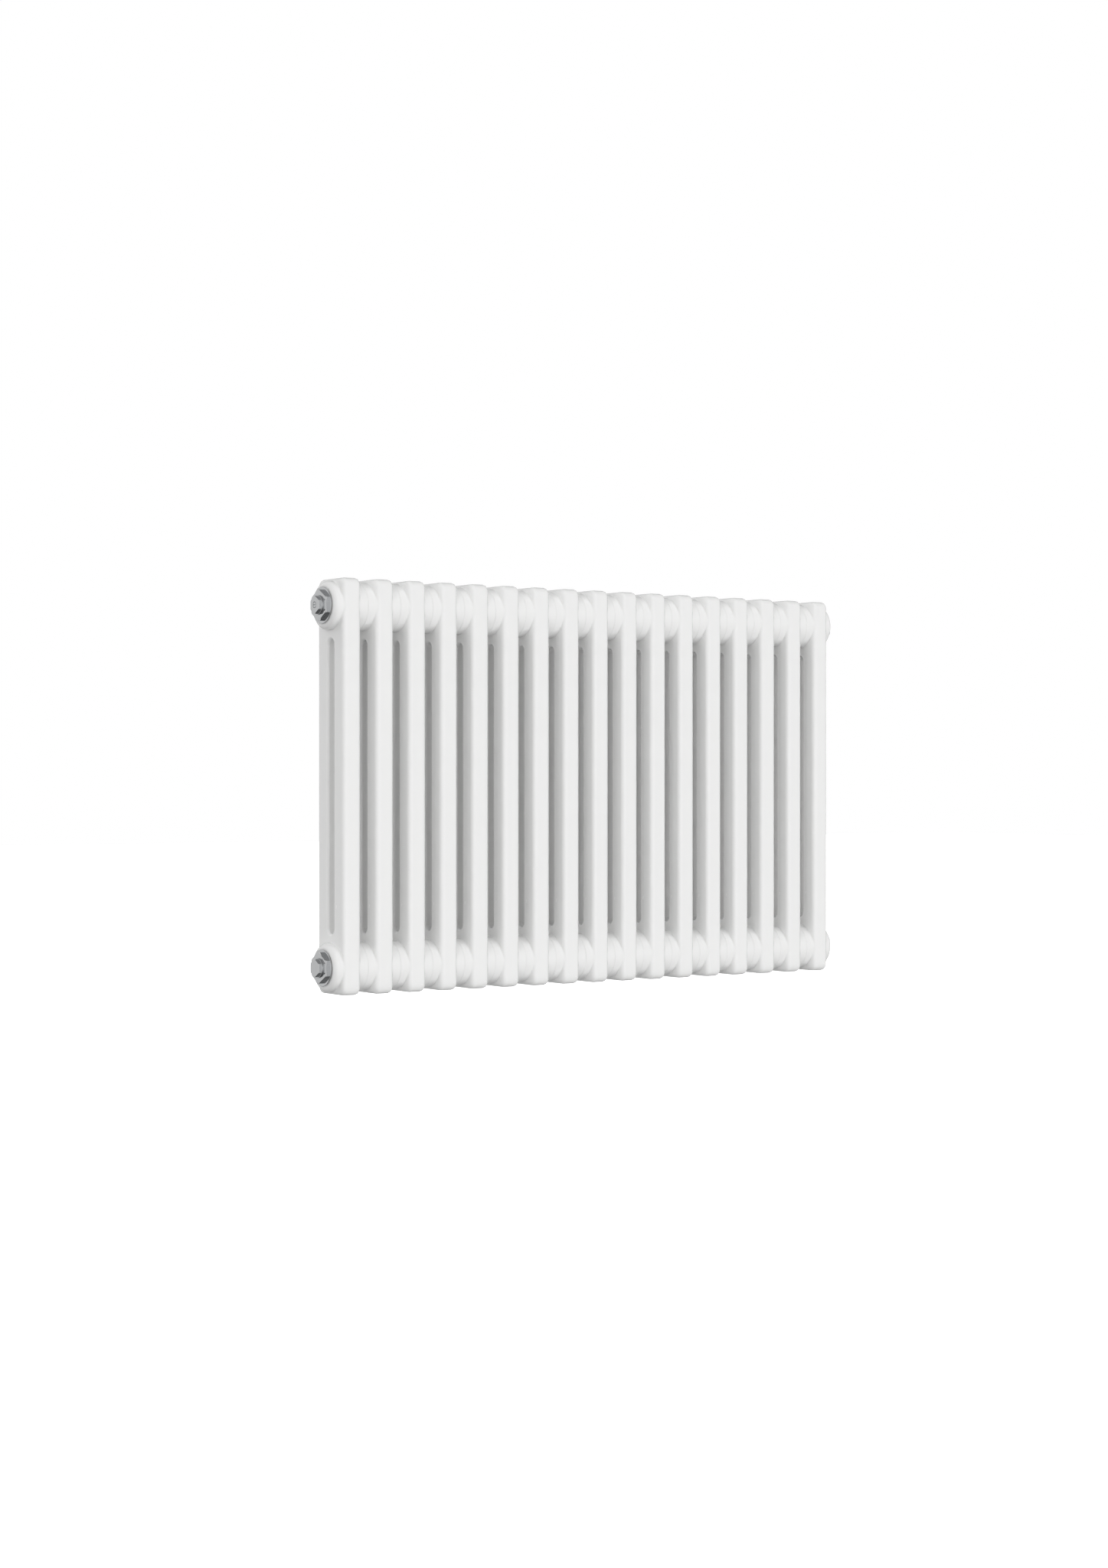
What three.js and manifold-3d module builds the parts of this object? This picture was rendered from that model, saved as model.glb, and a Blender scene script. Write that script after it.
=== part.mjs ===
// Two-column sectional radiator: seventeen hollow castings screwed together by nipples.
// Millimetres, +Z up. The sections stand side by side along X, and the front looks along -Y.
// The origin is under the middle section, on the plane that the sections' feet make.
import * as THREE from 'three';
import { mergeVertices } from 'three/addons/utils/BufferGeometryUtils.js';
import Module from 'manifold-3d';

const wasm = await Module();
wasm.setup();

// Driving dimensions of the whole radiator.
const SECTION_COUNT = 17;
const PITCH = 46;
const HEIGHT = 500;
const DEPTH = 62;
const HUB_SPACING = 435;
const HUB_HEIGHTS = { bottom: (HEIGHT - HUB_SPACING) / 2, top: (HEIGHT + HUB_SPACING) / 2 };

// One section: a flat casting with a long slot between its two water columns.
const COLUMN_WIDTH = 25;
const WALL = 4;
const OUTLINE_CORNER = 9;
const OUTER_FILLET = 5.5;
const SLOT_WIDTH = 14;
const SLOT_HEIGHT = 354;
const SLOT_FILLET = 3.5;

// Hubs: the round bosses at top and bottom, threaded for G 1 nipples and bushes.
const GASKET_THICKNESS = 1;
const GASKET_RADIUS = 21.5;
const HUB_HALF_LENGTH = (PITCH - GASKET_THICKNESS) / 2;
const HUB_RADIUS = 29.5;
// The bosses are almost square where two sections meet, and well rounded at the two free ends.
const JOINT_RIM = 0.8;
const END_RIM = 7;
const HUB_THREAD_RADIUS = 16.6;

// Nipple: a tube threaded left-handed at one end and right-handed at the other.
const NIPPLE_HALF_LENGTH = 14;
const NIPPLE_BORE_RADIUS = 13.2;
const LUG = { length: 10, height: 2.6, width: 4 };

// Bush: reduces a hub's G 1 thread to a G 1/2 tapping.
const BUSH = { flangeRadius: 22.35, flange: 1.25, acrossFlats: 33, hex: 4.5, stub: 12 };
const TAPPING_THREAD_RADIUS = 10.48;

// Plug: closes a bush. The vent plug also holds the bleed screw.
const PLUG = { collarRadius: 12, collar: 1.75, acrossFlats: 19, hex: 3.5, stub: 12 };
const SCREW = { headRadius: 3.5, head: 2.5, shankRadius: 2.2, shank: 10, seatRadius: 1, seat: 2.5 };
const SCREW_SLOT = { width: 1, depth: 1.25 };
const ORIFICE_RADIUS = 0.8;

// Pieces that screw together keep this much room all round, in place of their thread depth.
const THREAD_GAP = 0.3;
const ROUND_SIDES = 12;
const HEX_SIDES = 6;
const ARC_STEPS = 2;
// A cutter runs this much past the face that it opens.
const CUT_PAST = 1;

const paint = new THREE.MeshStandardMaterial({ color: 0xf3f3f0, roughness: 0.28, metalness: 0 });
const chrome = new THREE.MeshStandardMaterial({ color: 0xc9cccf, roughness: 0.12, metalness: 1 });
const malleableIron = new THREE.MeshStandardMaterial({ color: 0x5a5754, roughness: 0.6, metalness: 0.9 });
const fibre = new THREE.MeshStandardMaterial({ color: 0x3c3a38, roughness: 0.9, metalness: 0 });

// Turns a closed three.js geometry into a solid that can be joined and cut.
function solid(geometry) {
  const bare = geometry.clone();
  bare.deleteAttribute('normal');
  bare.deleteAttribute('uv');
  const merged = mergeVertices(bare);
  const vertProperties = Float32Array.from(merged.attributes.position.array);
  const triVerts = Uint32Array.from(merged.index.array);
  return new wasm.Manifold(new wasm.Mesh({ numProp: 3, vertProperties, triVerts }));
}

function meshOf(name, body, material) {
  const { vertProperties, triVerts, numProp } = body.getMesh();
  const geometry = new THREE.BufferGeometry();
  geometry.setAttribute('position', new THREE.BufferAttribute(vertProperties, numProp));
  geometry.setIndex(new THREE.BufferAttribute(triVerts, 1));
  geometry.computeVertexNormals();
  const mesh = new THREE.Mesh(geometry, material);
  mesh.name = name;
  return mesh;
}

// A polygon's corner radius when its flats lie at the given distance from the axis.
function cornerRadius(flatDistance, sides) {
  return flatDistance / Math.cos(Math.PI / sides);
}

// Lays a geometry that was made around the Y axis along the X axis.
const alongX = (geometry) => geometry.rotateZ(-Math.PI / 2);

// A disc or rod along X from `from` to `to`, with a flat of its rim facing straight down.
function rod(radius, from, to, sides = ROUND_SIDES) {
  const flatDown = Math.PI / sides;
  const geometry = new THREE.CylinderGeometry(radius, radius, to - from, sides, 1, false, flatDown);
  return solid(alongX(geometry).translate((from + to) / 2, 0, 0));
}

// A hexagon along X with two corners up and down and two flats facing front and back.
function hexagon(acrossFlats, from, to) {
  const radius = cornerRadius(acrossFlats / 2, HEX_SIDES);
  const geometry = new THREE.CylinderGeometry(radius, radius, to - from, HEX_SIDES);
  return solid(alongX(geometry).translate((from + to) / 2, 0, 0));
}

// The cone that takes the corners off a hexagon's outer face, which is at `from`.
function cornerChamfer(acrossFlats, from, to) {
  const faceRadius = acrossFlats / 2;
  const length = to - from;
  const sides = 2 * ROUND_SIDES;
  const cone = new THREE.CylinderGeometry(faceRadius + 2 * length, faceRadius, length, sides);
  return solid(alongX(cone).translate((from + to) / 2, 0, 0));
}

// A bore that leaves the thread gap round a male thread of the given radius.
function threadBore(maleRadius, from, to) {
  return rod(cornerRadius(maleRadius + THREAD_GAP, ROUND_SIDES), from, to);
}

// An upright rectangle with round corners, centred on the section, in the Y-Z plane.
// Each corner is an arc drawn in `steps` straight pieces.
function roundedOutline(width, height, corner, steps) {
  const [y, z] = [width / 2 - corner, height / 2 - corner];
  const centres = [[y, z], [-y, z], [-y, -z], [y, -z]];
  const points = centres.flatMap((centre, quarter) => {
    const turns = Array.from({ length: steps + 1 }, (_, step) => (quarter + step / steps) * Math.PI / 2);
    return turns.map((turn) => new THREE.Vector2(Math.cos(turn), Math.sin(turn)).multiplyScalar(corner)
      .add(new THREE.Vector2(...centre)));
  });
  return new THREE.Shape(points);
}

// Extrudes a Y-Z outline along X, with its edges rounded by `fillet` inside the given width.
function plate(shape, width, fillet, bevelSegments) {
  const bevel = { bevelThickness: fillet, bevelSize: fillet, bevelOffset: -fillet, bevelSegments };
  const straight = width - 2 * fillet;
  const geometry = new THREE.ExtrudeGeometry(shape, { depth: straight, bevelEnabled: fillet > 0, ...bevel });
  const [x, y, z] = [[1, 0, 0], [0, 1, 0], [0, 0, 1]].map((axis) => new THREE.Vector3(...axis));
  geometry.translate(0, 0, -straight / 2).applyMatrix4(new THREE.Matrix4().makeBasis(y, z, x));
  return solid(geometry.translate(0, 0, HEIGHT / 2));
}

function outerBody() {
  const shape = roundedOutline(DEPTH, HEIGHT, OUTLINE_CORNER, ARC_STEPS);
  return plate(shape, COLUMN_WIDTH, OUTER_FILLET, ARC_STEPS);
}

// A plate larger than the section, pierced by the slot, whose edges are taken off on both sides.
function slottedBlank() {
  const shape = roundedOutline(2 * DEPTH, HEIGHT + DEPTH, OUTLINE_CORNER, 1);
  shape.holes.push(roundedOutline(SLOT_WIDTH, SLOT_HEIGHT, SLOT_WIDTH / 2, ARC_STEPS));
  return plate(shape, COLUMN_WIDTH, SLOT_FILLET, 1);
}

// The waterway follows the outside of the casting and goes round the slot, one wall away.
function waterway() {
  const inset = 2 * WALL;
  const shape = roundedOutline(DEPTH - inset, HEIGHT - inset, OUTLINE_CORNER - WALL, 1);
  shape.holes.push(roundedOutline(SLOT_WIDTH + inset, SLOT_HEIGHT + inset, OUTLINE_CORNER, 1));
  return plate(shape, COLUMN_WIDTH - inset, 0, 0);
}

// The rounded edge at the end of a boss, from its face out to its drum, as (radius, x) points.
function rimPoints(rim) {
  const [radius, x] = [HUB_RADIUS - rim, HUB_HALF_LENGTH - rim];
  const angles = Array.from({ length: ARC_STEPS + 1 }, (_, step) => (Math.PI / 2) * (step / ARC_STEPS));
  return angles.map((angle) => [radius + rim * Math.sin(angle), x + rim * Math.cos(angle)]);
}

// One ring through the section gives the bosses on both of its sides.
function hub(leftRim, rightRim) {
  const [inner, end] = [NIPPLE_BORE_RADIUS, HUB_HALF_LENGTH];
  const left = rimPoints(leftRim).map(([radius, x]) => [radius, -x]);
  const right = rimPoints(rightRim).reverse();
  const loop = [[inner, -end], ...left, ...right, [inner, end], [inner, -end]];
  const profile = loop.map(([radius, x]) => new THREE.Vector2(radius, x));
  const flatDown = Math.PI / ROUND_SIDES;
  return solid(alongX(new THREE.LatheGeometry(profile, ROUND_SIDES, flatDown, 2 * Math.PI)));
}

function sectionBody(leftRim, rightRim) {
  const levels = Object.values(HUB_HEIGHTS);
  const reach = HUB_HALF_LENGTH + CUT_PAST;
  let casting = outerBody().intersect(slottedBlank());
  for (const z of levels) {
    casting = casting.add(hub(leftRim, rightRim).translate([0, 0, z]));
  }
  casting = casting.subtract(waterway());
  for (const z of levels) {
    casting = casting.subtract(threadBore(HUB_THREAD_RADIUS, -reach, reach).translate([0, 0, z]));
  }
  return casting;
}

// The two lugs inside a nipple are what the assembly key turns.
function nippleBody() {
  const tube = rod(HUB_THREAD_RADIUS, -NIPPLE_HALF_LENGTH, NIPPLE_HALF_LENGTH);
  const bore = rod(NIPPLE_BORE_RADIUS, -NIPPLE_HALF_LENGTH - CUT_PAST, NIPPLE_HALF_LENGTH + CUT_PAST);
  let nipple = tube.subtract(bore);
  for (const side of [-1, 1]) {
    const lug = new THREE.BoxGeometry(LUG.length, LUG.width, LUG.height + CUT_PAST);
    const z = side * (NIPPLE_BORE_RADIUS - LUG.height / 2);
    nipple = nipple.add(solid(lug.translate(0, 0, z)));
  }
  return nipple;
}

// End fittings are drawn for the left end: x is 0 on the hub's end face and falls outwards.
const FLANGE_INNER = -GASKET_THICKNESS;
const FLANGE_OUTER = FLANGE_INNER - BUSH.flange;
const BUSH_END = FLANGE_OUTER - BUSH.hex;
const COLLAR_OUTER = BUSH_END - PLUG.collar;
const PLUG_END = COLLAR_OUTER - PLUG.hex;

function gasketBody() {
  const bore = threadBore(HUB_THREAD_RADIUS, FLANGE_INNER - CUT_PAST, CUT_PAST);
  return rod(GASKET_RADIUS, FLANGE_INNER, 0, 2 * ROUND_SIDES).subtract(bore);
}

function bushBody() {
  const hex = hexagon(BUSH.acrossFlats, BUSH_END, FLANGE_OUTER);
  const head = hex.intersect(cornerChamfer(BUSH.acrossFlats, BUSH_END, FLANGE_OUTER));
  const flange = rod(BUSH.flangeRadius, FLANGE_OUTER, FLANGE_INNER, 2 * ROUND_SIDES);
  const stub = rod(HUB_THREAD_RADIUS, FLANGE_INNER, BUSH.stub);
  const bore = threadBore(TAPPING_THREAD_RADIUS, BUSH_END - CUT_PAST, BUSH.stub + CUT_PAST);
  return head.add(flange).add(stub).subtract(bore);
}

function plugBody() {
  const hex = hexagon(PLUG.acrossFlats, PLUG_END, COLLAR_OUTER);
  const head = hex.intersect(cornerChamfer(PLUG.acrossFlats, PLUG_END, COLLAR_OUTER));
  const collar = rod(PLUG.collarRadius, COLLAR_OUTER, BUSH_END, 2 * ROUND_SIDES);
  const stub = rod(TAPPING_THREAD_RADIUS, BUSH_END, BUSH_END + PLUG.stub);
  return head.add(collar).add(stub);
}

const HEAD_INNER = PLUG_END + SCREW.head;
const SHANK_END = HEAD_INNER + SCREW.shank;
const SEAT_END = SHANK_END + SCREW.seat;

// The vent plug is drilled for the bleed screw: a pocket that its head fills, a bore for its
// shank, and the orifice that its cone closes.
function ventPlugBody() {
  const outside = PLUG_END - CUT_PAST;
  const pocket = threadBore(SCREW.headRadius, outside, HEAD_INNER + THREAD_GAP);
  const bore = threadBore(SCREW.shankRadius, outside, SEAT_END + THREAD_GAP);
  const orifice = rod(ORIFICE_RADIUS, SHANK_END, BUSH_END + PLUG.stub + CUT_PAST);
  return plugBody().subtract(pocket).subtract(bore).subtract(orifice);
}

// The bleed screw: a slotted head, a threaded shank and the cone that seals on its seat.
function bleedScrewBody() {
  const { headRadius, shankRadius, seatRadius, seat } = SCREW;
  const slot = new THREE.BoxGeometry(2 * SCREW_SLOT.depth, 3 * headRadius, SCREW_SLOT.width);
  const head = rod(headRadius, PLUG_END, HEAD_INNER).subtract(solid(slot.translate(PLUG_END, 0, 0)));
  const shank = rod(shankRadius, HEAD_INNER, SHANK_END);
  const cone = new THREE.CylinderGeometry(seatRadius, shankRadius, seat, ROUND_SIDES);
  cone.rotateY(Math.PI / ROUND_SIDES);
  return head.add(shank).add(solid(alongX(cone).translate(SHANK_END + seat / 2, 0, 0)));
}

const radiator = new THREE.Group();
const sectionX = (number) => (number - (SECTION_COUNT + 1) / 2) * PITCH;
const twoDigits = (number) => String(number).padStart(2, '0');

function addSections() {
  const middle = sectionBody(JOINT_RIM, JOINT_RIM);
  const ends = { 1: sectionBody(END_RIM, JOINT_RIM), [SECTION_COUNT]: sectionBody(JOINT_RIM, END_RIM) };
  for (let number = 1; number <= SECTION_COUNT; number += 1) {
    const section = meshOf(`section_${twoDigits(number)}`, ends[number] ?? middle, paint);
    section.position.x = sectionX(number);
    radiator.add(section);
  }
}

function addNipples() {
  const body = nippleBody();
  for (const [level, z] of Object.entries(HUB_HEIGHTS)) {
    for (let number = 1; number < SECTION_COUNT; number += 1) {
      const nipple = meshOf(`nipple_${level}_${twoDigits(number)}`, body, malleableIron);
      nipple.position.set(sectionX(number) + PITCH / 2, 0, z);
      radiator.add(nipple);
    }
  }
}

// A group at one corner of the radiator: the right end's fittings are the left end's, turned about.
function endGroup(side, z) {
  const group = new THREE.Group();
  const leftFace = sectionX(1) - HUB_HALF_LENGTH;
  group.position.set(side === 'left' ? leftFace : -leftFace, 0, z);
  group.rotation.z = side === 'left' ? 0 : Math.PI;
  radiator.add(group);
  return group;
}

function addEndFittings() {
  const [gasket, bush] = [gasketBody(), bushBody()];
  for (const [level, z] of Object.entries(HUB_HEIGHTS)) {
    for (const side of ['left', 'right']) {
      const end = endGroup(side, z);
      end.add(meshOf(`gasket_${level}_${side}`, gasket, fibre));
      end.add(meshOf(`bush_${level}_${side}`, bush, chrome));
    }
  }
}

function addPlugs() {
  const top = endGroup('left', HUB_HEIGHTS.top);
  const bottom = endGroup('left', HUB_HEIGHTS.bottom);
  top.add(meshOf('vent_plug', ventPlugBody(), chrome));
  top.add(meshOf('bleed_screw', bleedScrewBody(), chrome));
  bottom.add(meshOf('blanking_plug', plugBody(), chrome));
}

addSections();
addNipples();
addEndFittings();
addPlugs();

export default radiator;
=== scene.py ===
"""Looks for a two-column sectional radiator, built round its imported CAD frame.

Metres, +Z up. The sections stand in a row along X and the front looks along -Y.
"""

from math import atan, cos, degrees, pi, radians, sin, tan

import bmesh
import bpy
import numpy as np
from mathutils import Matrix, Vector


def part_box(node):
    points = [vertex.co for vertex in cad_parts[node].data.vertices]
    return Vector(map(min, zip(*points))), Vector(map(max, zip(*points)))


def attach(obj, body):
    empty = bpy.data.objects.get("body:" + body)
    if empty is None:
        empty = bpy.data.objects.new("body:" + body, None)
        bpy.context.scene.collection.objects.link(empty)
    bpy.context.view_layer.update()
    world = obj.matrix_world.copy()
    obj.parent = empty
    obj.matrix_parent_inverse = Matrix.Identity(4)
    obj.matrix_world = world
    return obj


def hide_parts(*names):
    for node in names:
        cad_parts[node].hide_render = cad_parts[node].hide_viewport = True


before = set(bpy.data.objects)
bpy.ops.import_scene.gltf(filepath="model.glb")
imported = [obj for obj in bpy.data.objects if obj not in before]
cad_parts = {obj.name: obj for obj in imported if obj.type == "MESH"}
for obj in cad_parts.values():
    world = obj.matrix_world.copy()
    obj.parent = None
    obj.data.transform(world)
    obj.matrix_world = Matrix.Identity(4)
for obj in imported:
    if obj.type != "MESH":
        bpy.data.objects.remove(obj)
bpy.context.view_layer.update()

MM = 0.001

# Read from the frame: the row of sections, their outside sizes and the hub axes.
SECTIONS = sorted(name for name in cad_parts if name.startswith("section_"))
_, section_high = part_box(SECTIONS[len(SECTIONS) // 2])
HUB_END = section_high.x
HALF_DEPTH = section_high.y
HEIGHT = section_high.z
HUB_HEIGHTS = {
    level: sum(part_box(f"bush_{level}_left"), Vector()).z / 2 for level in ("bottom", "top")
}
TOP_HUB = HUB_HEIGHTS["top"]
HEAD_TOP = HEIGHT - TOP_HUB
SECTION_X = {name: sum(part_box(name), Vector()).x / 2 for name in SECTIONS}
END_X = {side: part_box(f"gasket_top_{side}") for side in ("left", "right")}

# One section's side faces, and the fillets round its outline and its slot.
HALF_WIDTH = 12.5 * MM
EDGE_FILLET = 5.5 * MM
OUTLINE_CORNER = 9 * MM
SLOT_RADIUS = 7 * MM
SLOT_FILLET = 3.5 * MM
SLOT_TOP = HEIGHT / 2 + 177 * MM
SLOT_END = SLOT_TOP - SLOT_RADIUS
WALL = 4 * MM

# The bosses: a flat end ring, a rounded rim and a fillet where each leaves the casting. The rim
# is small where two sections meet, and large at the two free ends.
BOSS_RADIUS = 29.5 * MM
JOINT_RIM = 0.3 * MM
END_RIM = 7 * MM
BOSS_FOOT = 1 * MM
BORE_RADIUS = 16.9 * MM
BORE_CHAMFER = 0.6 * MM

# Threads as pipe threads are: major radius, pitch and depth. A thread's profile is a triangle
# wave made steeper by the flank slope, with its crests and roots cut flat.
G_1 = {"radius": 16.55 * MM, "pitch": 2.309 * MM, "depth": 1.3 * MM}
G_HALF = {"radius": 10.4 * MM, "pitch": 1.814 * MM, "depth": 1.05 * MM}
THREAD_SAMPLES = 8
FLANK_SLOPE = 1.5
# Room between a thread and the plain bore of a gasket or a housing that it passes through.
CLEARANCE = 0.3 * MM

MERGE_DISTANCE = 0.002 * MM
SHARP_ANGLE = radians(32)
RAYS = 72


# ---------------------------------------------------------------------------
# Mesh helpers
# ---------------------------------------------------------------------------

def mesh_from_grids(name, grids):
    """One closed mesh from grids of points, each given with the index of its material."""
    bm = bmesh.new()
    for points, material in grids:
        rows = [[bm.verts.new(point) for point in row] for row in points]
        for upper, lower in zip(rows, rows[1:]):
            for corner in range(len(upper) - 1):
                quad = (upper[corner], lower[corner], lower[corner + 1], upper[corner + 1])
                bm.faces.new(quad).material_index = material
    bmesh.ops.remove_doubles(bm, verts=bm.verts, dist=MERGE_DISTANCE)
    bmesh.ops.dissolve_degenerate(bm, edges=bm.edges, dist=MERGE_DISTANCE)
    bmesh.ops.recalc_face_normals(bm, faces=bm.faces)
    for face in bm.faces:
        face.smooth = True
    for edge in bm.edges:
        edge.smooth = not edge.is_manifold or edge.calc_face_angle() < SHARP_ANGLE
    mesh = bpy.data.meshes.new(name)
    bm.to_mesh(mesh)
    bm.free()
    return mesh


def place(name, mesh, location, body="root", replaced=(), turned=False):
    """One piece of the radiator, riding on its body and standing for its CAD nodes."""
    piece = bpy.data.objects.new(name, mesh)
    bpy.context.scene.collection.objects.link(piece)
    piece.location = location
    piece.rotation_euler.z = pi if turned else 0
    flat_faces = piece.modifiers.new("flat_faces_stay_flat", "WEIGHTED_NORMAL")
    flat_faces.keep_sharp = True
    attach(piece, body)
    if replaced:
        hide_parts(*replaced)
    return piece


def arc(start, stop, steps):
    return np.linspace(start, stop, steps + 1)


# ---------------------------------------------------------------------------
# Sections
# ---------------------------------------------------------------------------

# Directions from a head down to the columns, from the front one to the rear one. They are close
# together near both ends, where they cross the outline's fillet.
FILLET_LEANS = [
    atan(1 - EDGE_FILLET / HALF_DEPTH * (1 - sin(turn))) for turn in arc(pi / 2, 0, 7)
]
LEANS = [-lean for lean in FILLET_LEANS] + list(arc(-pi / 5, pi / 5, 16)) + FILLET_LEANS[::-1]

# Directions round a head: three quarters evenly, from the rear column over the top to the front
# one, and the rest along those that lead down.
OUTSIDE_RAYS = 54
HEAD_ANGLES = [*arc(-pi / 4, 5 * pi / 4, OUTSIDE_RAYS)] + [3 * pi / 2 + lean for lean in LEANS[1:]]


def outline_inset(y, z):
    """How far a point of the side face lies inside the section's outline."""
    across = abs(y) - (HALF_DEPTH - OUTLINE_CORNER)
    along = abs(z - HEIGHT / 2) - (HEIGHT / 2 - OUTLINE_CORNER)
    outside = np.hypot(max(across, 0), max(along, 0))
    return OUTLINE_CORNER - outside - min(max(across, along), 0)


def slot_inset(y, z):
    """How far a point of the side face lies from the slot's edge."""
    beyond = max(abs(z - HEIGHT / 2) - (SLOT_END - HEIGHT / 2), 0)
    return np.hypot(y, beyond) - SLOT_RADIUS


def fillet_drop(inset, radius):
    """How far a fillet has fallen below the face, at a given distance from its edge."""
    into = min(max(radius - inset, 0), radius)
    return radius - np.sqrt(radius ** 2 - into ** 2)


def side_height(y, z):
    """The side face's distance from the section's middle plane."""
    outer = fillet_drop(outline_inset(y, z), EDGE_FILLET)
    inner = fillet_drop(slot_inset(y, z), SLOT_FILLET)
    return HALF_WIDTH - max(outer, inner)


def head_edge(angle, half, top, corner):
    """Distance from the hub's axis to the oblong round it, whose two top corners are round."""
    direction = np.array([cos(angle), sin(angle)])
    limits = np.array([half, top if direction[1] > 0 else half])
    reach = 1 / max(abs(direction) / limits)
    centre = np.array([np.copysign(half - corner, direction[0]), top - corner])
    past = abs(direction * reach) > abs(centre)
    if direction[1] > 0 and past.all():
        along = centre @ direction
        reach = along + np.sqrt(along ** 2 - centre @ centre + corner ** 2)
    return reach


def ray_height(angle, radius):
    """The side face's height at one distance from the hub's axis, along one ray."""
    return side_height(radius * cos(angle), TOP_HUB + radius * sin(angle))


def parabola(start, middle, stop, t):
    """A point of the curve that leaves start towards middle and reaches stop from there."""
    return (1 - t) ** 2 * start + 2 * t * (1 - t) * middle + t ** 2 * stop


def boss_profile(angle, rim):
    """(radius, height) of the boss along one ray, from the bore's inner edge to its foot's end."""
    inside = HALF_WIDTH - WALL
    bore = [(BORE_RADIUS, inside), (BORE_RADIUS, HUB_END - BORE_CHAMFER)]
    bore += [(BORE_RADIUS + BORE_CHAMFER, HUB_END)]
    rounded = [
        (BOSS_RADIUS - rim + rim * sin(turn), HUB_END - rim + rim * cos(turn))
        for turn in arc(0, pi / 2, 8)
    ]
    corner = np.array([BOSS_RADIUS, ray_height(angle, BOSS_RADIUS)])
    start = corner + (0, BOSS_FOOT)
    foot_end = BOSS_RADIUS + BOSS_FOOT
    stop = np.array([foot_end, ray_height(angle, foot_end)])
    foot = [parabola(start, corner, stop, t) for t in arc(0, 1, 5)]
    return bore + rounded + foot


def ray_points(angle, profile):
    return [(x, r * cos(angle), TOP_HUB + r * sin(angle)) for r, x in profile]


def outer_head(rim):
    """The head outside: rays from the bore over the boss to the outline or the neck's line."""
    rays = []
    foot_end = BOSS_RADIUS + BOSS_FOOT
    for angle in HEAD_ANGLES:
        edge = head_edge(angle, HALF_DEPTH, HEAD_TOP, OUTLINE_CORNER)
        radii = [foot_end + (edge - foot_end) * sin(t) for t in arc(0, pi / 2, 10)[1:]]
        face = [(r, ray_height(angle, r)) for r in radii]
        rays.append(ray_points(angle, boss_profile(angle, rim) + face))
    return np.array(rays)


def inner_head():
    """The head's waterway wall, flat from the bore to the waterway's own outline."""
    inside = HALF_WIDTH - WALL
    rays = []
    for angle in HEAD_ANGLES:
        edge = head_edge(angle, HALF_DEPTH - WALL, HEAD_TOP - WALL, OUTLINE_CORNER - WALL)
        rays.append(ray_points(angle, [(BORE_RADIUS, inside), (edge, inside)]))
    return np.array(rays)


def neck(half, slot_radius, spread, height):
    """The fan between the slot's round end and the head's lower edge.

    `spread` gives each line's distances from the slot as a function of the line's length.
    """
    lines = []
    for lean in LEANS:
        start = np.array([slot_radius * sin(2 * lean), SLOT_END + slot_radius * cos(2 * lean)])
        stop = np.array([half * tan(lean), TOP_HUB - half])
        length = np.hypot(*(stop - start))
        points = [start + (stop - start) * distance / length for distance in spread(length)]
        lines.append([(height(y, z), y, z) for y, z in points])
    return np.array(lines)


def column(top_line, spread, slot_radius, half, height):
    """One column's side, from the neck's last line down to half height."""
    sign = np.sign(top_line[0][1])
    offsets = spread(half - slot_radius)
    rows = [top_line]
    for z in np.linspace(SLOT_END - 3 * slot_radius / 2, HEIGHT / 2, 5):
        ys = [sign * (slot_radius + offset) for offset in offsets]
        rows.append([(height(y, z), y, z) for y in ys])
    return np.array(rows)


def outer_spread(length):
    """Close together over the slot's fillet and the outline's, and apart between them."""
    slot_side = [SLOT_FILLET * (1 - cos(t)) for t in arc(0, pi / 2, 5)]
    flat = length - SLOT_FILLET
    fillet_share = EDGE_FILLET / (HALF_DEPTH - SLOT_RADIUS - SLOT_FILLET)
    edge_side = [length - flat * fillet_share * (1 - sin(t)) for t in arc(0, pi / 2, 7)]
    return slot_side + edge_side


def inner_spread(length):
    return [0, length]


def half_shell(head, half, slot_radius, spread, height):
    """The side face's upper half: the head, the neck and both columns."""
    fan = neck(half, slot_radius, spread, height)
    columns = [column(fan[end], spread, slot_radius, half, height) for end in (0, -1)]
    return [head, fan, *columns]


def edge_strips(grids):
    """Strips across the section's thickness, along the outline and round the slot."""
    head, fan, *columns = grids
    lines = [head[: OUTSIDE_RAYS + 1, -1], fan[:, 0]]
    lines += [grid[:, 0] for grid in columns]
    lines += [grid[:, -1] for grid in columns]
    return [np.stack([line, line * (-1, 1, 1)], axis=1) for line in lines]


def with_lower_half(grids):
    return grids + [points * (1, 1, -1) + (0, 0, HEIGHT) for points in grids]


def shell(right, left, material):
    """Both sides of the shell from the upper halves of its right side and of its left side.

    The left side is given as it would be drawn on the right.
    """
    right = with_lower_half(right)
    left = [points * (-1, 1, 1) for points in with_lower_half(left)]
    return [(points, material) for points in right + left]


def outer_side(rim):
    return half_shell(outer_head(rim), HALF_DEPTH, SLOT_RADIUS, outer_spread, side_height)


def section_mesh(name, left_rim, right_rim):
    """Paint outside, bare iron in the waterway, joined through the bores."""
    inside = HALF_WIDTH - WALL
    inner = half_shell(
        inner_head(), HALF_DEPTH - WALL, SLOT_RADIUS + WALL, inner_spread, lambda y, z: inside
    )
    right, left = outer_side(right_rim), outer_side(left_rim)
    painted, bare = 0, 1
    grids = shell(right, left, painted) + shell(inner, inner, bare)
    for half, material in ((right, painted), (inner, bare)):
        grids += [(points, material) for points in with_lower_half(edge_strips(half))]
    return mesh_from_grids(name, grids)


# ---------------------------------------------------------------------------
# Turned and threaded pieces. They are drawn along +X, and x is 0 on the hub's end face.
# ---------------------------------------------------------------------------

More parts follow.
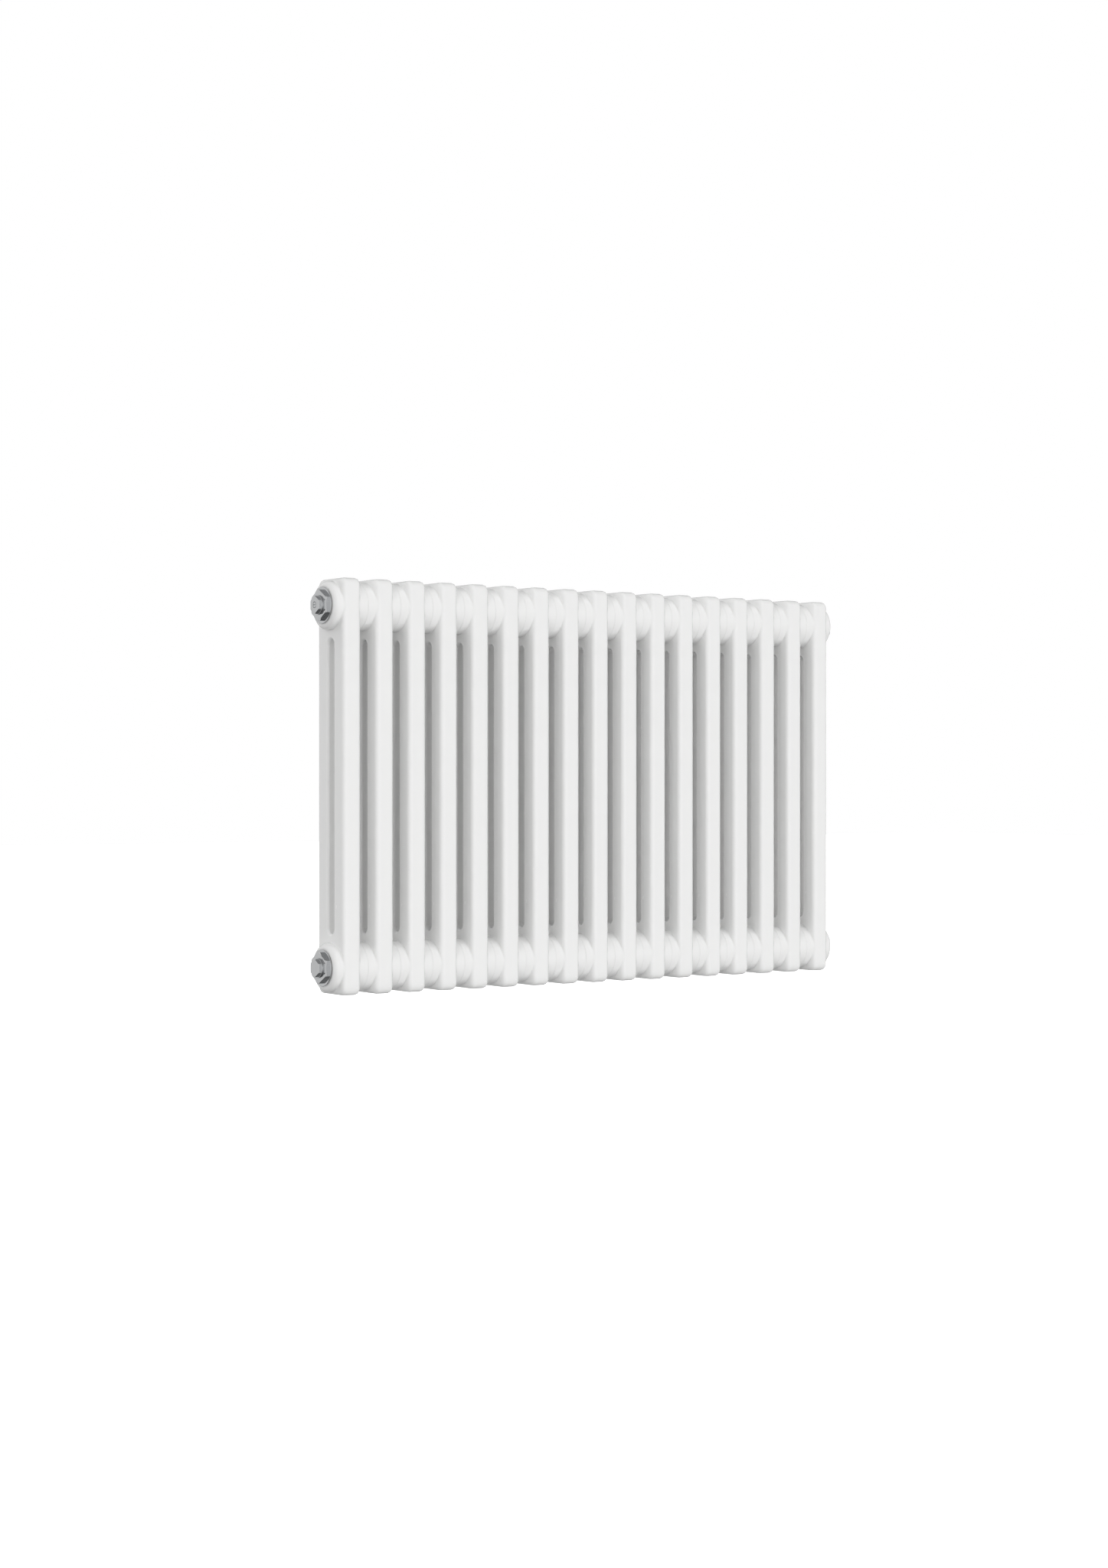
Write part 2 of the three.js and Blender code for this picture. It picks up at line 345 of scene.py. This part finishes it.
# Directions round a turned piece. A hexagon's corners are taken off over this much to either side.
CORNER_BEVEL = radians(1)
HEX_CORNERS = [radians(60 * corner + 30) for corner in range(6)]
PLAIN_ANGLES = [turn for turn in arc(0, 2 * pi, RAYS) if round(degrees(turn)) % 60 != 30]
CORNER_ANGLES = [corner + side for corner in HEX_CORNERS for side in (-CORNER_BEVEL, CORNER_BEVEL)]
FINE_ANGLES = sorted(PLAIN_ANGLES + CORNER_ANGLES)

GASKET = END_X["right"][1].x - END_X["right"][0].x
GASKET_RADIUS = 21.5 * MM
STUB_LENGTH = 12 * MM


def disc_shape(radius, inner, thickness, rounding):
    return {"radius": radius, "inner": inner, "outer": inner + thickness, "rounding": rounding}


def hex_shape(across, inner, thickness):
    return {"across": across, "inner": inner, "outer": inner + thickness}


FLANGE = disc_shape(22.35 * MM, GASKET, 1.25 * MM, 0.4 * MM)
BUSH_HEX = hex_shape(33 * MM, FLANGE["outer"], 4.5 * MM)
COLLAR = disc_shape(12 * MM, BUSH_HEX["outer"], 1.75 * MM, 0.5 * MM)
PLUG_HEX = hex_shape(19 * MM, COLLAR["outer"], 3.5 * MM)
BUSH_STUB_END = -STUB_LENGTH
PLUG_STUB_END = BUSH_HEX["outer"] - STUB_LENGTH

# Small turned details: a chamfer, the relief behind a shoulder and a female thread's play.
CHAMFER = 0.3 * MM
SHOULDER_RELIEF = 1.2 * MM
FEMALE_PLAY = 0.12 * MM


def hex_radius(angle, across):
    """Distance from the axis to a hexagon with corners up and down."""
    from_flat = (angle % (pi / 3)) if (angle % (pi / 3)) < pi / 6 else pi / 3 - angle % (pi / 3)
    return across / 2 / cos(from_flat)


def ring(radius, x):
    """A ring of points at one place along X. Its radius and x may depend on the angle."""
    reach = radius if callable(radius) else (lambda angle: radius)
    at = x if callable(x) else (lambda angle: x)
    return [(at(turn), reach(turn) * cos(turn), reach(turn) * sin(turn)) for turn in FINE_ANGLES]


def hexagon_rings(shape, face_share=0.955):
    """A hexagon's outer face edge, the scallops that a turned chamfer leaves, and its flats."""
    across, inner, outer = shape["across"], shape["inner"], shape["outer"]
    corner = across / 3 ** 0.5
    face = corner * face_share
    chamfer_angle = radians(30)

    def radius(angle):
        return hex_radius(angle, across)

    def face_radius(angle):
        return min(face, radius(angle))

    def scallop(angle):
        return outer - max(radius(angle) - face, 0) * tan(chamfer_angle)

    return [ring(face_radius, outer), ring(radius, scallop), ring(radius, inner)]


def disc_rings(radius, inner, outer, rounding):
    """A disc's rim from its outer face to its inner one, with rounded edges."""
    quarter = arc(0, pi / 2, 4)
    top = [(radius - rounding * (1 - sin(t)), outer - rounding * (1 - cos(t))) for t in quarter]
    low = [(radius - rounding * (1 - cos(t)), inner + rounding * (1 - sin(t))) for t in quarter]
    return [ring(r, x) for r, x in top + low]


def thread_rings(thread, start, stop, hand=1, inward=0.0):
    """A helical thread from x start to stop. `inward` widens it, for the matching female one."""
    turns = abs(stop - start) / thread["pitch"]
    rows = []
    for x in np.linspace(start, stop, int(turns * THREAD_SAMPLES) + 1):
        fade = min(1, abs(x - start) / thread["pitch"], abs(x - stop) / thread["pitch"])

        def radius(angle, x=x, fade=fade):
            phase = (x / thread["pitch"] - hand * angle / (2 * pi)) % 1
            triangle = 1 - abs(2 * phase - 1)
            crest = min(max(FLANK_SLOPE * triangle - (FLANK_SLOPE - 1) / 2, 0), 1)
            full = thread["radius"] - thread["depth"] * (1 - crest)
            root = thread["radius"] - thread["depth"]
            return inward + root + (full - root) * (fade if inward == 0 else 1)

        rows.append(ring(radius, x))
    return rows


def lathe(name, rings, closed=True):
    loop = rings + [rings[0]] if closed else rings
    return mesh_from_grids(name, [(np.array(loop), 0)])


def bush_mesh():
    """Male G 1 thread, flange, hexagon and a female G 1/2 thread right through."""
    mouth = G_HALF["radius"] + 0.9 * MM
    mouth_edge = 0.1 * MM
    thread_start = FLANGE["inner"] - 0.5 * MM
    female_end = BUSH_HEX["outer"] - 1 * MM
    stub_end = BUSH_STUB_END - CHAMFER
    rings = hexagon_rings(BUSH_HEX)
    rings += [ring(FLANGE["radius"] - SHOULDER_RELIEF, FLANGE["outer"]), *disc_rings(**FLANGE)]
    rings += [ring(G_1["radius"] - G_1["depth"], FLANGE["inner"])]
    rings += thread_rings(G_1, thread_start, BUSH_STUB_END)
    rings += [ring(G_1["radius"] - 2 * G_1["depth"], stub_end)]
    rings += thread_rings(G_HALF, stub_end, female_end, inward=FEMALE_PLAY)
    rings += [ring(mouth, BUSH_HEX["outer"] - mouth_edge)]
    rings += [ring(mouth + mouth_edge, BUSH_HEX["outer"])]
    return lathe("bush", rings)


def plug_rings():
    """A plug outside: its hexagon, its collar and its male thread."""
    face_edge = COLLAR["radius"] - 1 * MM
    rings = [*hexagon_rings(PLUG_HEX), ring(face_edge, COLLAR["outer"]), *disc_rings(**COLLAR)]
    rings += [ring(G_HALF["radius"] - G_HALF["depth"], COLLAR["inner"])]
    rings += thread_rings(G_HALF, COLLAR["inner"] - SHOULDER_RELIEF, PLUG_STUB_END)
    return rings


def blanking_plug_mesh():
    """Solid across its hexagon, and drilled out from its inner end."""
    drilled = 6.5 * MM
    chamfer = 0.5 * MM
    depth = PLUG_HEX["inner"] - 2 * MM
    drill_point = depth - 1.5 * MM
    rings = [ring(0, PLUG_HEX["outer"]), *plug_rings()]
    rings += [ring(drilled + chamfer, PLUG_STUB_END), ring(drilled, PLUG_STUB_END + chamfer)]
    rings += [ring(drilled, depth), ring(0, drill_point)]
    return lathe("blanking_plug", rings, closed=False)


VENT_HEAD = {"radius": 3.5 * MM, "length": 2.5 * MM, "slot": 1 * MM, "slot_depth": 1.25 * MM}
VENT_THREAD = {"radius": 2.2 * MM, "pitch": 0.8 * MM, "depth": 0.45 * MM}
VENT_SHANK = 10 * MM
VENT_SEAT = 2.5 * MM
VENT_SEAT_RADIUS = 1 * MM
ORIFICE_RADIUS = 0.8 * MM
SLOT_SAMPLES = 24

# The seal in the relief under a plug's collar, and how deep its middle lies.
SEAL = {"radius": G_HALF["radius"] + 0.4 * MM, "thickness": 1.1 * MM, "depth": 0.6 * MM}


def vent_plug_mesh():
    """Drilled right through: the screw head's pocket, the thread, the seat and its orifice."""
    end = PLUG_HEX["outer"]
    chamfer = 0.2 * MM
    play = 0.1 * MM
    pocket = VENT_HEAD["radius"] + CLEARANCE
    floor = end - VENT_HEAD["length"] - CLEARANCE
    thread_end = floor - VENT_SHANK
    bore = thread_rings(VENT_THREAD, floor - CLEARANCE, thread_end, inward=play)
    rings = [ring(pocket + chamfer, end), *plug_rings()]
    rings += [ring(ORIFICE_RADIUS, PLUG_STUB_END), ring(ORIFICE_RADIUS, thread_end - VENT_SEAT)]
    rings += [ring(VENT_THREAD["radius"], thread_end - CLEARANCE), *reversed(bore)]
    rings += [ring(VENT_THREAD["radius"] + CLEARANCE, floor), ring(pocket, floor)]
    rings += [ring(pocket, end - chamfer)]
    return lathe("vent_plug", rings)


def bleed_screw_mesh():
    """A slotted head, a fine thread and the cone that closes the orifice."""
    end = PLUG_HEX["outer"]
    radius = VENT_HEAD["radius"]
    neck_x = end - VENT_HEAD["length"]
    shank_end = neck_x - VENT_SHANK
    half_slot = VENT_HEAD["slot"] / 2

    def slot_floor(reach):
        def x(angle):
            inside_slot = abs(reach * sin(angle)) < half_slot
            return end - (VENT_HEAD["slot_depth"] if inside_slot else 0)
        return x

    face = [ring(r, slot_floor(r)) for r in np.linspace(0, radius - CHAMFER, SLOT_SAMPLES)]
    rings = [*face, ring(radius, end - CHAMFER), ring(radius, neck_x)]
    rings += thread_rings(VENT_THREAD, neck_x, shank_end)
    rings += [ring(VENT_SEAT_RADIUS, shank_end - VENT_SEAT), ring(0, shank_end - VENT_SEAT)]
    return lathe("bleed_screw", rings, closed=False)


def nipple_mesh():
    """Threaded right-handed on one half and left-handed on the other, with two lugs inside."""
    half = 14 * MM
    land = 1.5 * MM
    bore = 13.2 * MM
    lug_height = 2.6 * MM
    lug_half_width = radians(9)
    lug_root = 5 * MM
    lug_top = lug_root - CHAMFER
    right = thread_rings(G_1, land, half)
    left = thread_rings(G_1, -half, -land, hand=-1)

    def lugged(angle):
        near_lug = abs((angle + pi / 2) % pi - pi / 2) > pi / 2 - lug_half_width
        from_lug = min(abs(angle - pi / 2), abs(angle - 3 * pi / 2))
        return bore - (lug_height if near_lug or from_lug < lug_half_width else 0)

    inner = [ring(bore, half), ring(bore, lug_root), ring(lugged, lug_top)]
    inner += [ring(lugged, -lug_top), ring(bore, -lug_root), ring(bore, -half)]
    return lathe("nipple", [*left, *right, *inner])


def washer_mesh(name, inner, outer, thickness):
    """A flat ring with softly rounded rims, centred on x = 0."""
    rounding = thickness / 3
    half = thickness / 2
    rings = [ring(inner, half - rounding), ring(inner + rounding, half)]
    rings += disc_rings(outer, -half, half, rounding)
    rings += [ring(inner + rounding, -half), ring(inner, rounding - half)]
    return lathe(name, rings)


def o_ring_mesh(radius, thickness):
    """A round ring of rubber, centred on x = 0, that reaches out to the given radius."""
    half = thickness / 2
    turns = arc(0, 2 * pi, 12)[:-1]
    return lathe("o_ring", [ring(radius - half + half * cos(t), half * sin(t)) for t in turns])


# ---------------------------------------------------------------------------
# Materials
# ---------------------------------------------------------------------------

def node_material(name, colour, colour_spread, roughness, bump, metallic=0.0, coat=0.0):
    """Procedural material: mottled colour, mottled roughness and any sizes of bump.

    `roughness` is (low, high), and `bump` is a list of (noise scale, height in metres).
    """
    material = bpy.data.materials.new(name)
    material.use_nodes = True
    nodes, links = material.node_tree.nodes, material.node_tree.links
    shader = nodes["Principled BSDF"]
    shader.inputs["Metallic"].default_value = metallic
    shader.inputs["Coat Weight"].default_value = coat
    shader.inputs["Coat Roughness"].default_value = roughness[0] / 2
    where = nodes.new("ShaderNodeTexCoord").outputs["Object"]

    def noise(scale, detail):
        texture = nodes.new("ShaderNodeTexNoise")
        texture.inputs["Scale"].default_value = scale
        texture.inputs["Detail"].default_value = detail
        links.new(where, texture.inputs["Vector"])
        return texture.outputs["Fac"]

    ramp = nodes.new("ShaderNodeValToRGB")
    low, high = ramp.color_ramp.elements
    low.position, high.position = 0.3, 0.7
    low.color = (*[channel * (1 - colour_spread) for channel in colour], 1)
    high.color = (*colour, 1)
    links.new(noise(scale=35, detail=4), ramp.inputs["Fac"])
    links.new(ramp.outputs["Color"], shader.inputs["Base Color"])

    spread = nodes.new("ShaderNodeMapRange")
    spread.inputs["To Min"].default_value, spread.inputs["To Max"].default_value = roughness
    links.new(noise(scale=90, detail=3), spread.inputs["Value"])
    links.new(spread.outputs["Result"], shader.inputs["Roughness"])

    normal = None
    for scale, height in bump:
        node = nodes.new("ShaderNodeBump")
        node.inputs["Strength"].default_value = 1
        node.inputs["Distance"].default_value = height
        links.new(noise(scale, detail=2), node.inputs["Height"])
        if normal is not None:
            links.new(normal, node.inputs["Normal"])
        normal = node.outputs["Normal"]
    links.new(normal, shader.inputs["Normal"])
    return material


# The enamel's slow waves and its fine orange peel, and the plating's much finer ones.
PAINT_BUMP = [(40, 0.02 * MM), (420, 0.012 * MM)]
CHROME_BUMP = [(60, 0.01 * MM), (900, 0.002 * MM)]
PAINT = node_material("white_enamel", (0.87, 0.87, 0.865), 0.015, (0.2, 0.3), PAINT_BUMP, coat=0.4)
IRON = node_material(
    "bare_iron", (0.2, 0.17, 0.15), 0.5, (0.6, 0.85), [(300, 0.3 * MM)], metallic=0.6
)
CHROME = node_material(
    "bright_chrome", (0.8, 0.81, 0.82), 0.04, (0.05, 0.12), CHROME_BUMP, metallic=1.0
)
MALLEABLE = node_material(
    "malleable_iron", (0.33, 0.31, 0.29), 0.35, (0.35, 0.55), [(500, 0.05 * MM)], metallic=0.9
)
FIBRE = node_material("jointing_fibre", (0.09, 0.085, 0.08), 0.4, (0.8, 0.95), [(1500, 0.05 * MM)])
RUBBER = node_material("seal_rubber", (0.02, 0.02, 0.022), 0.3, (0.5, 0.7), [(900, 0.02 * MM)])


# ---------------------------------------------------------------------------
# The pieces in their places
# ---------------------------------------------------------------------------

def clad(mesh, *materials):
    for material in materials:
        mesh.materials.append(material)
    return mesh


def add_sections():
    """All alike, but for the free boss of the first and of the last."""
    meshes = [clad(section_mesh("section", JOINT_RIM, JOINT_RIM), PAINT, IRON)] * len(SECTIONS)
    meshes[0] = clad(section_mesh("left_section", END_RIM, JOINT_RIM), PAINT, IRON)
    meshes[-1] = clad(section_mesh("right_section", JOINT_RIM, END_RIM), PAINT, IRON)
    for name, mesh in zip(SECTIONS, meshes):
        place(f"cast_{name}", mesh, (SECTION_X[name], 0, 0), replaced=[name])


def add_joints():
    """Between neighbours: a nipple inside the hubs, and a packing ring that was painted over."""
    nipple = clad(nipple_mesh(), MALLEABLE)
    paint_sink = 0.05 * MM
    packing = washer_mesh("hub_gasket", G_1["radius"] + CLEARANCE, BOSS_RADIUS - paint_sink, GASKET)
    clad(packing, PAINT)
    for level, height in HUB_HEIGHTS.items():
        for number, (left, right) in enumerate(zip(SECTIONS, SECTIONS[1:]), start=1):
            where = ((SECTION_X[left] + SECTION_X[right]) / 2, 0, height)
            node = f"nipple_{level}_{number:02d}"
            place(f"threaded_{node}", nipple, where, replaced=[node])
            place(f"hub_gasket_{level}_{number:02d}", packing, where)


def add_end_fittings():
    """A gasket and a reducing bush on each of the four free bosses."""
    bush = clad(bush_mesh(), CHROME)
    gasket = washer_mesh("end_gasket", G_1["radius"] + CLEARANCE, GASKET_RADIUS, GASKET)
    clad(gasket, FIBRE)
    for level, height in HUB_HEIGHTS.items():
        for side, (low, high) in END_X.items():
            left = side == "left"
            face = Vector((high.x if left else low.x, 0, height))
            middle = Vector(((low.x + high.x) / 2, 0, height))
            corner = f"{level}_{side}"
            place(f"reducing_bush_{corner}", bush, face, replaced=[f"bush_{corner}"], turned=left)
            place(f"end_gasket_{corner}", gasket, middle, replaced=[f"gasket_{corner}"])


def add_plugs():
    """At the left end: the blanking plug below, and the vent plug with its bleed screw above."""
    face_x = END_X["left"][1].x
    top, bottom = [(face_x, 0, HUB_HEIGHTS[level]) for level in ("top", "bottom")]
    blank = clad(blanking_plug_mesh(), CHROME)
    vent = clad(vent_plug_mesh(), CHROME)
    screw = clad(bleed_screw_mesh(), CHROME)
    seal = clad(o_ring_mesh(SEAL["radius"], SEAL["thickness"]), RUBBER)
    place("blank_plug", blank, bottom, replaced=["blanking_plug"], turned=True)
    place("air_vent_plug", vent, top, replaced=["vent_plug"], turned=True)
    place("vent_screw", screw, top, body="bleed_screw", replaced=["bleed_screw"], turned=True)
    seal_x = face_x - COLLAR["inner"] + SEAL["depth"]
    for level, height in HUB_HEIGHTS.items():
        place(f"plug_seal_{level}", seal, (seal_x, 0, height))


# ---------------------------------------------------------------------------
# Studio
# ---------------------------------------------------------------------------

def add_camera():
    """Level, near mid-height, looking along the row from in front of its left end."""
    upright = radians(90)
    heading = radians(-35.09)
    camera = bpy.data.objects.new("camera", bpy.data.cameras.new("camera"))
    bpy.context.scene.collection.objects.link(camera)
    camera.location = (-1.975, -2.737, 0.253)
    camera.rotation_euler = (upright, 0, heading)
    camera.data.sensor_width = 36
    camera.data.lens = 60.3
    bpy.context.scene.camera = camera


def add_floor():
    """A pale floor below the radiator, which hangs clear of it."""
    half = 12
    level = -0.12
    glow = 0.75
    corners = [(-half, -half), (half, -half), (half, half), (-half, half)]
    mesh = bpy.data.meshes.new("floor")
    mesh.from_pydata([(x, y, level) for x, y in corners], [], [(0, 1, 2, 3)])
    material = node_material("floor", (0.95, 0.95, 0.95), 0.01, (0.8, 0.9), [(3, 0.1 * MM)])
    shader = material.node_tree.nodes["Principled BSDF"]
    shader.inputs["Emission Color"].default_value = (1, 1, 1, 1)
    shader.inputs["Emission Strength"].default_value = glow
    floor = bpy.data.objects.new("floor", clad(mesh, material))
    bpy.context.scene.collection.objects.link(floor)
    floor.visible_glossy = False
    floor.visible_diffuse = False
    floor.visible_shadow = False


# The light that falls, as bands of the studio. Each is a window of elevations times a ring of
# azimuths, and both are (degrees, brightness) stops. Azimuth 0 is straight in front of the
# radiator and grows towards its right end.
STUDIO_BANDS = {
    "softboxes": {
        "window": [(-25, 0), (-15, 1), (20, 1), (30, 0)],
        "ring": [
            (-180, 0.8), (-130, 0.9), (-120, 0.1), (-95, 0.1), (-75, 0.4), (-70, 2.8),
            (-50, 2.7), (-38, 2), (-35, 0), (-18, 0), (-16, 2.95), (45, 2.8), (50, 0),
            (80, 0), (86, 1.5), (120, 1.5), (130, 0.15), (170, 0.15), (180, 0.8),
        ],
    },
    "above": {
        "window": [(20, 0), (30, 1), (60, 1), (70, 0)],
        "ring": [(-180, 1.6), (-95, 1.6), (-85, 0), (170, 0), (180, 1.6)],
    },
    "overhead": {"window": [(60, 0), (70, 1)], "ring": [(-180, 1.45)]},
    "below": {
        "window": [(-70, 0), (-60, 1), (-30, 1), (-20, 0)],
        "ring": [(-95, 0.5), (-85, 0.15), (85, 0.15), (95, 0.6)],
    },
    "underfoot": {"window": [(-70, 1), (-60, 0)], "ring": [(-180, 0.4)]},
}
# What polished metal reflects: brightest near the horizon and dark below.
REFLECTION = [(-90, 0.02), (-48, 0.12), (-8, 0.56), (8, 0.6), (48, 0.27), (90, 0.25)]
STUDIO_STRENGTH = 5


class WorldTree:
    """The world's shader nodes, with short ways to add and join them."""

    def __init__(self, world):
        world.use_nodes = True
        self.tree = world.node_tree
        self.tree.nodes.clear()
        direction = self.add("ShaderNodeTexCoord").outputs["Generated"]
        parts = self.add("ShaderNodeSeparateXYZ")
        self.tree.links.new(direction, parts.inputs["Vector"])
        x, y, z = parts.outputs
        forward = self.math("MULTIPLY", y, -1)
        self.azimuth = self.turn_share(self.math("ARCTAN2", x, forward))
        self.elevation = self.turn_share(self.math("ARCSINE", z))

    def add(self, kind):
        return self.tree.nodes.new(kind)

    def math(self, operation, *values):
        node = self.add("ShaderNodeMath")
        node.operation = operation
        for socket, value in zip(node.inputs, values):
            if isinstance(value, (int, float)):
                socket.default_value = value
            else:
                self.tree.links.new(value, socket)
        return node.outputs["Value"]

    def turn_share(self, angle):
        """An angle in radians, from minus half a turn to half a turn, as 0 to 1."""
        return self.math("MULTIPLY_ADD", angle, 1 / (2 * pi), 0.5)

    def ramp(self, angle, stops):
        """Brightness along an angle, as a share of the studio's full strength."""
        ramp = self.add("ShaderNodeValToRGB")
        elements = ramp.color_ramp.elements
        while len(elements) > 1:
            elements.remove(elements[-1])
        while len(elements) < len(stops):
            elements.new(1)
        for element, (angle_stop, value) in zip(elements, stops):
            element.position = angle_stop / 360 + 0.5
            grey = value / STUDIO_STRENGTH
            element.color = (grey, grey, grey, 1)
        self.tree.links.new(angle, ramp.inputs["Fac"])
        return ramp.outputs["Color"]

    def background(self, value, strength=STUDIO_STRENGTH):
        node = self.add("ShaderNodeBackground")
        node.inputs["Strength"].default_value = strength
        if value is not None:
            self.tree.links.new(value, node.inputs["Color"])
        return node.outputs["Background"]

    def choose(self, test, otherwise, chosen):
        mix = self.add("ShaderNodeMixShader")
        for socket, value in zip(mix.inputs, (test, otherwise, chosen)):
            self.tree.links.new(value, socket)
        return mix.outputs["Shader"]


def set_world():
    """White behind the radiator, the bands for light and a plain gradient in polished metal."""
    world = bpy.data.worlds.new("studio")
    bpy.context.scene.world = world
    tree = WorldTree(world)
    light = 0
    for band in STUDIO_BANDS.values():
        window = tree.ramp(tree.elevation, band["window"])
        around = tree.ramp(tree.azimuth, band["ring"])
        share = tree.math("MULTIPLY", window, around)
        light = tree.math("MULTIPLY_ADD", share, STUDIO_STRENGTH, light)
    ray = tree.add("ShaderNodeLightPath").outputs
    white = tree.background(None, strength=1)
    white.node.inputs["Color"].default_value = (1, 1, 1, 1)
    reflection = tree.background(tree.ramp(tree.elevation, REFLECTION))
    surroundings = tree.choose(ray["Is Glossy Ray"], tree.background(light), reflection)
    seen = tree.choose(ray["Is Camera Ray"], surroundings, white)
    tree.tree.links.new(seen, tree.add("ShaderNodeOutputWorld").inputs["Surface"])


add_sections()
add_joints()
add_end_fittings()
add_plugs()
add_camera()
add_floor()
set_world()
bpy.context.scene.view_settings.view_transform = "Standard"
